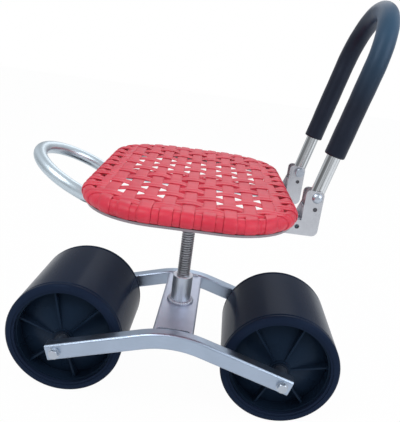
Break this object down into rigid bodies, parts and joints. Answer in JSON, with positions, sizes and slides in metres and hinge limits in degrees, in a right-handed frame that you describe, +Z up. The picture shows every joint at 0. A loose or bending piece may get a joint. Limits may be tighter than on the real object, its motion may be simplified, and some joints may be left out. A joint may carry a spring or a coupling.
{
  "type": "rolling garden seat",
  "caption": "Rolling garden seat with wide roller wheels, an arched frame, a screw post for height, a strap-woven seat, a loop handle and a folding padded backrest.",
  "frame": {"origin": "on the ground, straight below the screw's axis, midway between the axles and midway between the beams", "axes": "+Z up; +X towards the backrest end, along the rolling direction; +Y towards the sitter's right; the loop handle is at -X"},
  "size_m": [0.51, 0.4212, 0.6253],
  "materials": {
    "frame_steel": "satin stainless, rolled and welded",
    "tube_steel": "polished stainless tube and sheet",
    "hardware_steel": "bright stainless fasteners",
    "screw_steel": "machined thread, slightly oiled",
    "weld_steel": "rough weld bead",
    "wheel_plastic": "glossy black moulding",
    "bush_plastic": "plain black moulding",
    "strap_plastic": "soft red vinyl strap",
    "foam_rubber": "matte black closed-cell foam sleeve"
  },
  "bodies": {
    "base": {"beam_left": "frame_steel", "beam_right": "frame_steel", "cross_plate": "frame_steel", "screw_sleeve": "frame_steel", "sleeve_weld": "weld_steel", "axle_front": "frame_steel", "axle_rear": "frame_steel", "axle_bolt_front_left": "hardware_steel", "axle_bolt_front_right": "hardware_steel", "axle_bolt_rear_left": "hardware_steel", "axle_bolt_rear_right": "hardware_steel", "washer_front_left": "hardware_steel", "washer_front_right": "hardware_steel", "washer_rear_left": "hardware_steel", "washer_rear_right": "hardware_steel", "spacer_front_left": "hardware_steel", "spacer_front_right": "hardware_steel", "spacer_rear_left": "hardware_steel", "spacer_rear_right": "hardware_steel"},
    "wheel_front": {"drum_front": "wheel_plastic", "disc_front_left": "wheel_plastic", "disc_front_right": "wheel_plastic", "bush_front_left": "bush_plastic", "bush_front_right": "bush_plastic"},
    "wheel_rear": {"drum_rear": "wheel_plastic", "disc_rear_left": "wheel_plastic", "disc_rear_right": "wheel_plastic", "bush_rear_left": "bush_plastic", "bush_rear_right": "bush_plastic"},
    "screw": {"screw": "screw_steel"},
    "seat": {"head_plate": "frame_steel", "handle_rail": "tube_steel", "hoop_pad_front_left": "frame_steel", "hoop_pad_front_right": "frame_steel", "hoop_pad_rear_left": "frame_steel", "hoop_pad_rear_right": "frame_steel", "seat_frame": "frame_steel", "seat_hoop": "frame_steel", "edge_wrap": "strap_plastic", "straps_crosswise": "strap_plastic", "straps_lengthwise": "strap_plastic", "bracket_left": "tube_steel", "bracket_right": "tube_steel", "pivot_bolt_left": "hardware_steel", "pivot_bolt_right": "hardware_steel", "pivot_nut_left": "hardware_steel", "pivot_nut_right": "hardware_steel"},
    "backrest": {"backrest_tube": "tube_steel", "backrest_foam": "foam_rubber"}
  },
  "joints": [
    {"name": "wheel_front_spin", "type": "hinge", "parent": "base", "child": "wheel_front", "pos_m": [-0.165, 0, 0.09], "axis": [0, 1, 0], "continuous": true},
    {"name": "wheel_rear_spin", "type": "hinge", "parent": "base", "child": "wheel_rear", "pos_m": [0.165, 0, 0.09], "axis": [0, 1, 0], "continuous": true},
    {"name": "seat_lift", "type": "slide", "parent": "base", "child": "screw", "axis": [0, 0, 1], "range_m": [-0.04, 0.04]},
    {"name": "seat_spin", "type": "hinge", "parent": "screw", "child": "seat", "pos_m": [0, 0, 0.3], "axis": [0, 0, 1], "range_deg": [-3600, 3600]},
    {"name": "backrest_fold", "type": "hinge", "parent": "seat", "child": "backrest", "pos_m": [0.16542, 0.00578, 0.3612], "axis": [0.0349, -0.9994, 0], "range_deg": [0, 94]}
  ],
  "couplings": [
    {"joint": "seat_lift", "follows": "seat_spin", "m_per_rad": 0.0006366}
  ]
}
